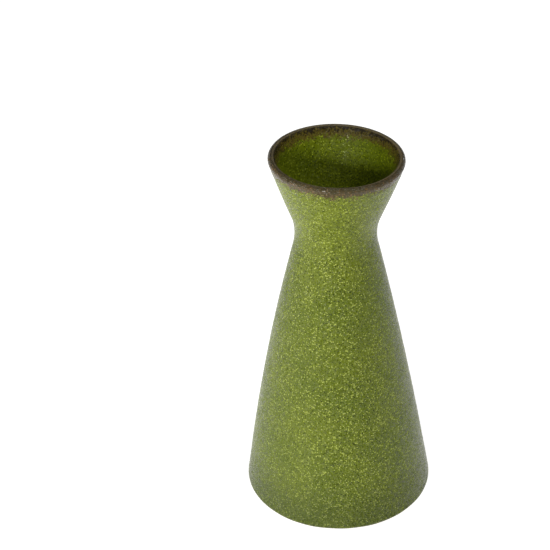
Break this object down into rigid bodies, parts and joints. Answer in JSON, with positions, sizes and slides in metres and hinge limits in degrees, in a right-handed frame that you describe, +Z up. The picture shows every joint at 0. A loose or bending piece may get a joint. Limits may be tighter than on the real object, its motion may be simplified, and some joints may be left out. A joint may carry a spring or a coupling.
{
  "type": "sake bottle",
  "caption": "Waisted ceramic sake bottle with a tapering body and a flared mouth, in speckled matte green glaze with a brown lip and a bare foot ring.",
  "frame": {"origin": "centre of the foot ring, in the plane that stands on the table", "axes": "+Z up along the bottle's axis of turning, from the foot to the mouth; the bottle is round, so X and Y are free"},
  "size_m": [0.074, 0.074, 0.15],
  "materials": {
    "clay": "fired stoneware, unglazed and finely gritty, with iron specks",
    "outer_glaze": "satin-matte moss green glaze with fine pale and dark speckle",
    "lip_glaze": "iron-brown glaze, thin and satin, breaking to buff on the lip's ridge",
    "inner_glaze": "satin olive green glaze, a little glossier than the outside",
    "base_glaze": "thin satin green glaze with kiln speckle"
  },
  "bodies": {
    "root": {"clay_body": "clay", "outer_glaze": "outer_glaze", "lip_glaze": "lip_glaze", "inner_glaze": "inner_glaze", "base_glaze": "base_glaze"}
  },
  "joints": []
}
